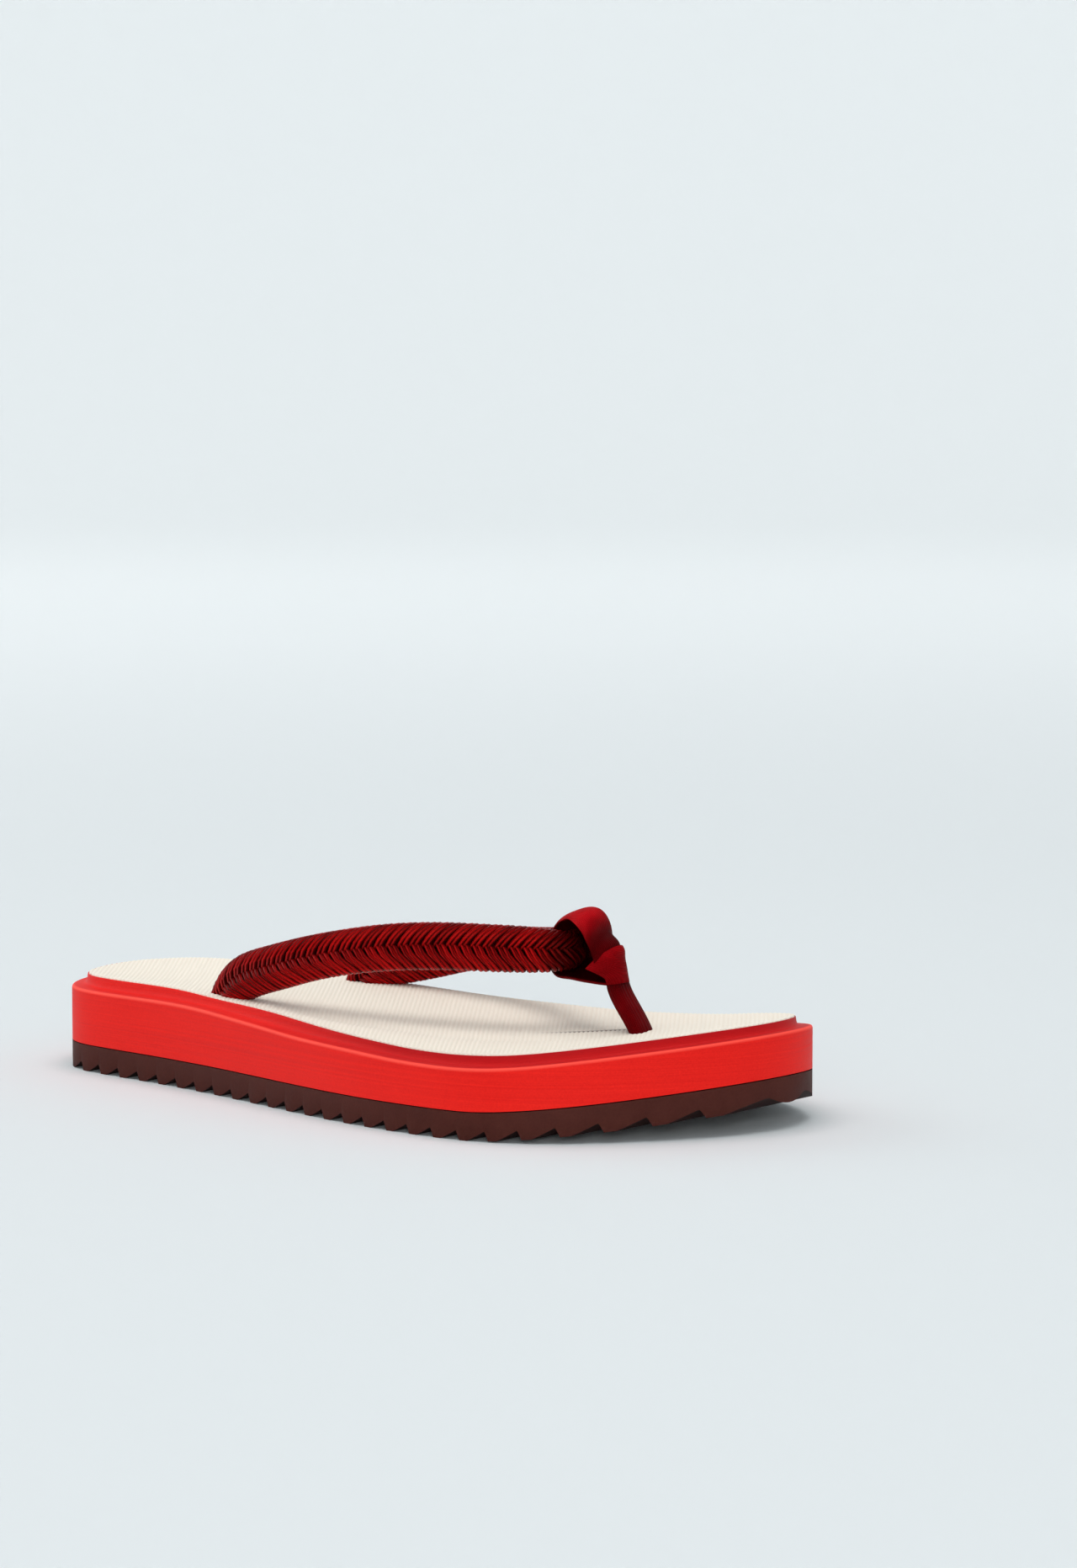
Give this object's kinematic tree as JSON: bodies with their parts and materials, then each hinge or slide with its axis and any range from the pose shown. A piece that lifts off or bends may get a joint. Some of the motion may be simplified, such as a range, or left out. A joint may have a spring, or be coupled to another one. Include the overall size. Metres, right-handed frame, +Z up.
{
  "type": "rope sandal",
  "caption": "Thong sandal for the right foot: braided cord strap with a ribbon toe loop on a foam sole with a ribbed footbed and a sawtooth rubber outsole.",
  "frame": {"origin": "on the floor, under the middle of the sole's length and width", "axes": "+X to the toe, +Y to the inner side of the foot, +Z up"},
  "size_m": [0.252, 0.1136, 0.0595],
  "materials": {
    "outsole": "matt dark brown rubber",
    "midsole": "matt bright red foam with faint level brush marks",
    "footbed": "matt cream sheet with fine slanted ribs",
    "braided_strap": "silky twisted cord, dark red",
    "toe_loop": "ribbed woven ribbon, dark crimson"
  },
  "bodies": {
    "root": {"outsole": "outsole", "midsole": "midsole", "footbed": "footbed", "braided_strap": "braided_strap", "toe_loop": "toe_loop"}
  },
  "joints": []
}
